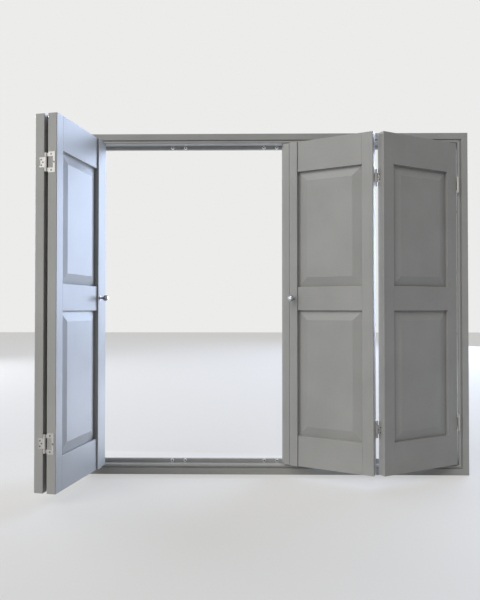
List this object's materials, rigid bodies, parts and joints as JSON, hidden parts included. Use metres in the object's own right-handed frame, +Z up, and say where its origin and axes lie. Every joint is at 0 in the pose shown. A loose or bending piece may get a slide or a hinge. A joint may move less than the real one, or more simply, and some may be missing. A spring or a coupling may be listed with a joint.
{
  "type": "solid panel window shutter",
  "caption": "Interior folding window shutters: raised and fielded panel leaves in hinged pairs, hung in a mitred timber frame with a beaded edge, magnetic catches and turned knobs.",
  "frame": {"origin": "centre of the frame's underside, at the middle of its width and depth", "axes": "+X to the right along the frame's width as seen from the room, +Y from the room towards the window, +Z up"},
  "size_m": [1.4363, 0.3943, 1.228],
  "materials": {
    "painted_frame": "satin paint",
    "painted_leaf": "satin paint",
    "satin_nickel_hinge": "satin nickel plate",
    "screw": "plated",
    "polished_knob": "polished",
    "catch_cup": "plated",
    "magnet": "plain ferrite",
    "strike_plate": "plated"
  },
  "bodies": {
    "frame": {"head_member": "painted_frame", "sill_member": "painted_frame", "left_jamb": "painted_frame", "right_jamb": "painted_frame", "head_stop": "painted_frame", "sill_stop": "painted_frame", "catch_cups": "catch_cup", "catch_magnets": "magnet", "left_jamb_hinge_plates": "satin_nickel_hinge", "right_jamb_hinge_plates": "satin_nickel_hinge", "left_jamb_hinge_pins": "satin_nickel_hinge", "right_jamb_hinge_pins": "satin_nickel_hinge", "jamb_hinge_screws": "screw"},
    "left_outer_leaf": {"left_outer_jamb_stile": "painted_leaf", "left_outer_fold_stile": "painted_leaf", "left_outer_bottom_rail": "painted_leaf", "left_outer_lock_rail": "painted_leaf", "left_outer_top_rail": "painted_leaf", "left_outer_lower_panel": "painted_leaf", "left_outer_upper_panel": "painted_leaf", "left_outer_strikes": "strike_plate", "left_outer_jamb_hinge_tabs": "satin_nickel_hinge", "left_outer_fold_hinge_tabs": "satin_nickel_hinge", "left_outer_hinge_screws": "screw"},
    "left_inner_leaf": {"left_inner_fold_stile": "painted_leaf", "left_inner_lead_stile": "painted_leaf", "left_inner_bottom_rail": "painted_leaf", "left_inner_lock_rail": "painted_leaf", "left_inner_top_rail": "painted_leaf", "left_inner_lower_panel": "painted_leaf", "left_inner_upper_panel": "painted_leaf", "left_inner_knob": "polished_knob", "left_inner_strikes": "strike_plate", "left_inner_fold_hinge_plates": "satin_nickel_hinge", "left_inner_fold_hinge_pins": "satin_nickel_hinge", "left_inner_hinge_screws": "screw"},
    "right_outer_leaf": {"right_outer_jamb_stile": "painted_leaf", "right_outer_fold_stile": "painted_leaf", "right_outer_bottom_rail": "painted_leaf", "right_outer_lock_rail": "painted_leaf", "right_outer_top_rail": "painted_leaf", "right_outer_lower_panel": "painted_leaf", "right_outer_upper_panel": "painted_leaf", "right_outer_strikes": "strike_plate", "right_outer_jamb_hinge_tabs": "satin_nickel_hinge", "right_outer_fold_hinge_tabs": "satin_nickel_hinge", "right_outer_hinge_screws": "screw"},
    "right_inner_leaf": {"right_inner_fold_stile": "painted_leaf", "right_inner_lead_stile": "painted_leaf", "right_inner_bottom_rail": "painted_leaf", "right_inner_lock_rail": "painted_leaf", "right_inner_top_rail": "painted_leaf", "right_inner_lower_panel": "painted_leaf", "right_inner_upper_panel": "painted_leaf", "right_inner_knob": "polished_knob", "right_inner_strikes": "strike_plate", "right_inner_fold_hinge_plates": "satin_nickel_hinge", "right_inner_fold_hinge_pins": "satin_nickel_hinge", "right_inner_hinge_screws": "screw"}
  },
  "joints": [
    {"name": "left_jamb_hinge", "type": "hinge", "parent": "frame", "child": "left_outer_leaf", "pos_m": [-0.67, -0.029, 0.614], "axis": [0, 0, 1], "range_deg": [0, 101.25]},
    {"name": "left_fold_hinge", "type": "hinge", "parent": "left_outer_leaf", "child": "left_inner_leaf", "pos_m": [-0.69416, -0.36576, 0.614], "axis": [0, 0, 1], "range_deg": [-180, 0]},
    {"name": "right_jamb_hinge", "type": "hinge", "parent": "frame", "child": "right_outer_leaf", "pos_m": [0.67, -0.029, 0.614], "axis": [0, 0, 1], "range_deg": [-27, 63]},
    {"name": "right_fold_hinge", "type": "hinge", "parent": "right_outer_leaf", "child": "right_inner_leaf", "pos_m": [0.35245, -0.14366, 0.614], "axis": [0, 0, 1], "range_deg": [-126, 54]}
  ],
  "couplings": [
    {"joint": "left_fold_hinge", "follows": "left_jamb_hinge", "ratio": -1.7778},
    {"joint": "right_fold_hinge", "follows": "right_jamb_hinge", "ratio": -2}
  ]
}
